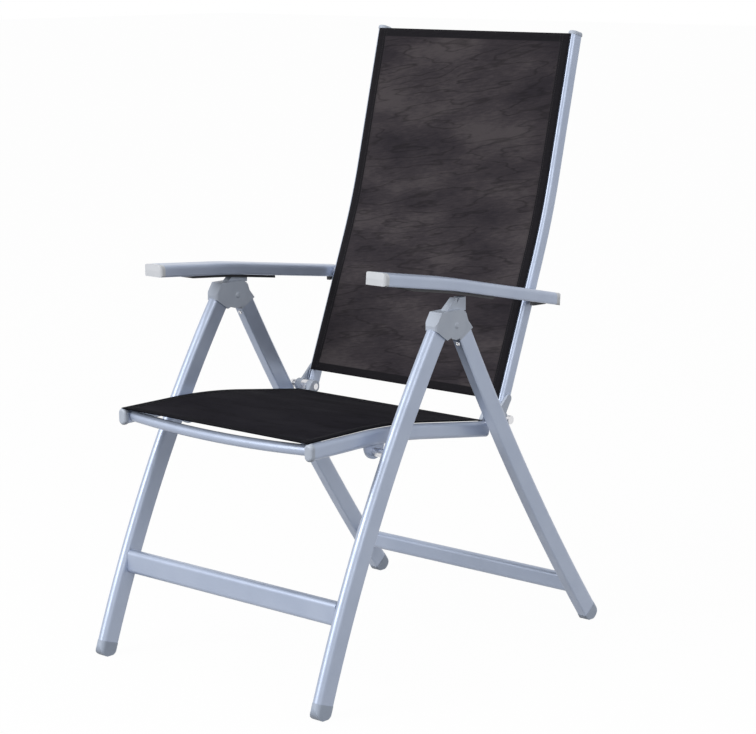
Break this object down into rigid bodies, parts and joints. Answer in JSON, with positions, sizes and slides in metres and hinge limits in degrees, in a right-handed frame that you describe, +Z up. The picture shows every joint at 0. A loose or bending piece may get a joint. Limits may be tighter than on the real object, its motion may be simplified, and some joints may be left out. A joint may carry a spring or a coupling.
{
  "type": "reclining folding garden armchair",
  "caption": "High-back garden armchair with taut sling seat and back, crossed bowed legs, notched armrests and a folding, reclining frame.",
  "frame": {"origin": "middle of the footprint, on the ground", "axes": "+Z up, -Y the way the sitter faces, +X across the seat"},
  "size_m": [0.569, 0.7894, 1.1075],
  "materials": {
    "frame_paint": "satin",
    "armrest_paint": "satin",
    "armrest_cap": "matte",
    "grey_plastic": "matte",
    "dark_plastic": "matte",
    "edge_rod": "matte",
    "bright_steel": "brushed",
    "seat_sling": "woven",
    "back_sling": "woven"
  },
  "bodies": {
    "front_frame": {"front_leg_l": "frame_paint", "front_leg_r": "frame_paint", "front_foot_cap_l": "grey_plastic", "front_foot_cap_r": "grey_plastic", "front_hinge_head_l": "grey_plastic", "front_hinge_head_r": "grey_plastic", "hinge_rivet_l": "bright_steel", "hinge_rivet_r": "bright_steel", "front_crossbar": "frame_paint", "seat_pivot_bolt_l": "bright_steel", "seat_pivot_bolt_r": "bright_steel"},
    "rear_frame": {"rear_leg_l": "frame_paint", "rear_leg_r": "frame_paint", "rear_leg_head_l": "grey_plastic", "rear_leg_head_r": "grey_plastic", "rear_foot_cap_l": "grey_plastic", "rear_foot_cap_r": "grey_plastic", "rear_crossbar": "frame_paint"},
    "seat_frame": {"seat_rail_l": "frame_paint", "seat_rail_r": "frame_paint", "seat_bracket_l": "frame_paint", "seat_bracket_r": "frame_paint", "seat_hinge_block_l": "grey_plastic", "seat_hinge_block_r": "grey_plastic", "seat_hinge_pin_l": "bright_steel", "seat_hinge_pin_r": "bright_steel", "seat_end_cap_l": "grey_plastic", "seat_end_cap_r": "grey_plastic", "seat_front_bow": "frame_paint", "seat_sling": "seat_sling", "seat_keder_l": "edge_rod", "seat_keder_r": "edge_rod"},
    "back_sleeve_l": {"back_hinge_sleeve_l": "bright_steel"},
    "back_sleeve_r": {"back_hinge_sleeve_r": "bright_steel"},
    "back_frame": {"back_rail_l": "frame_paint", "back_rail_r": "frame_paint", "back_hinge_fitting_l": "grey_plastic", "back_hinge_fitting_r": "grey_plastic", "back_top_cap_l": "grey_plastic", "back_top_cap_r": "grey_plastic", "back_top_bow": "frame_paint", "back_sling": "back_sling", "back_keder_l": "edge_rod", "back_keder_r": "edge_rod"},
    "armrest_bolt_l": {"armrest_bolt_l": "bright_steel"},
    "armrest_sleeve_l": {"armrest_sleeve_l": "bright_steel"},
    "armrest_l": {"armrest_profile_l": "armrest_paint", "armrest_front_cap_l": "armrest_cap", "armrest_rear_cap_l": "armrest_cap", "armrest_notch_rail_inner_l": "dark_plastic", "armrest_notch_rail_outer_l": "dark_plastic", "armrest_lug_l": "dark_plastic"},
    "armrest_bolt_r": {"armrest_bolt_r": "bright_steel"},
    "armrest_sleeve_r": {"armrest_sleeve_r": "bright_steel"},
    "armrest_r": {"armrest_profile_r": "armrest_paint", "armrest_front_cap_r": "armrest_cap", "armrest_rear_cap_r": "armrest_cap", "armrest_notch_rail_inner_r": "dark_plastic", "armrest_notch_rail_outer_r": "dark_plastic", "armrest_lug_r": "dark_plastic"}
  },
  "joints": [
    {"name": "fold", "type": "hinge", "parent": "front_frame", "child": "rear_frame", "pos_m": [0, -0.04163, 0.619], "axis": [-1, 0, 0], "range_deg": [0, 60]},
    {"name": "seat_swing", "type": "hinge", "parent": "front_frame", "child": "seat_frame", "pos_m": [0, -0.19766, 0.417], "axis": [1, 0, 0], "range_deg": [0, 64.5]},
    {"name": "back_sleeve_turn_l", "type": "hinge", "parent": "seat_frame", "child": "back_sleeve_l", "pos_m": [-0.229, 0.12512, 0.426], "axis": [1, 0, 0], "range_deg": [0, 88.5]},
    {"name": "back_sleeve_turn_r", "type": "hinge", "parent": "seat_frame", "child": "back_sleeve_r", "pos_m": [0.229, 0.12512, 0.426], "axis": [1, 0, 0], "range_deg": [0, 88.5]},
    {"name": "recline", "type": "hinge", "parent": "back_sleeve_r", "child": "back_frame", "pos_m": [0.229, 0.12512, 0.426], "axis": [-1, 0, 0], "range_deg": [-12, 28]},
    {"name": "armrest_bolt_turn_l", "type": "hinge", "parent": "back_frame", "child": "armrest_bolt_l", "pos_m": [-0.238, 0.22131, 0.636], "axis": [-1, 0, 0], "range_deg": [0, 90.5]},
    {"name": "armrest_level_l", "type": "hinge", "parent": "armrest_bolt_l", "child": "armrest_sleeve_l", "pos_m": [-0.243, 0.22131, 0.636], "axis": [1, 0, 0], "range_deg": [-8, 18.5]},
    {"name": "armrest_lift_l", "type": "hinge", "parent": "armrest_sleeve_l", "child": "armrest_l", "pos_m": [-0.245, 0.22131, 0.636], "axis": [-1, 0, 0], "range_deg": [0, 14]},
    {"name": "armrest_bolt_turn_r", "type": "hinge", "parent": "back_frame", "child": "armrest_bolt_r", "pos_m": [0.238, 0.22131, 0.636], "axis": [-1, 0, 0], "range_deg": [0, 90.5]},
    {"name": "armrest_level_r", "type": "hinge", "parent": "armrest_bolt_r", "child": "armrest_sleeve_r", "pos_m": [0.243, 0.22131, 0.636], "axis": [1, 0, 0], "range_deg": [-8, 18.5]},
    {"name": "armrest_lift_r", "type": "hinge", "parent": "armrest_sleeve_r", "child": "armrest_r", "pos_m": [0.245, 0.22131, 0.636], "axis": [-1, 0, 0], "range_deg": [-4.3, 10]}
  ],
  "couplings": [
    {"joint": "seat_swing", "follows": "fold", "ratio": 1.0667},
    {"joint": "back_sleeve_turn_l", "follows": "fold", "ratio": 1.4667},
    {"joint": "back_sleeve_turn_r", "follows": "fold", "ratio": 1.4667},
    {"joint": "armrest_bolt_turn_l", "follows": "fold", "ratio": 1.5},
    {"joint": "armrest_level_l", "follows": "recline", "ratio": 0.65},
    {"joint": "armrest_bolt_turn_r", "follows": "fold", "ratio": 1.5},
    {"joint": "armrest_level_r", "follows": "recline", "ratio": 0.65}
  ]
}
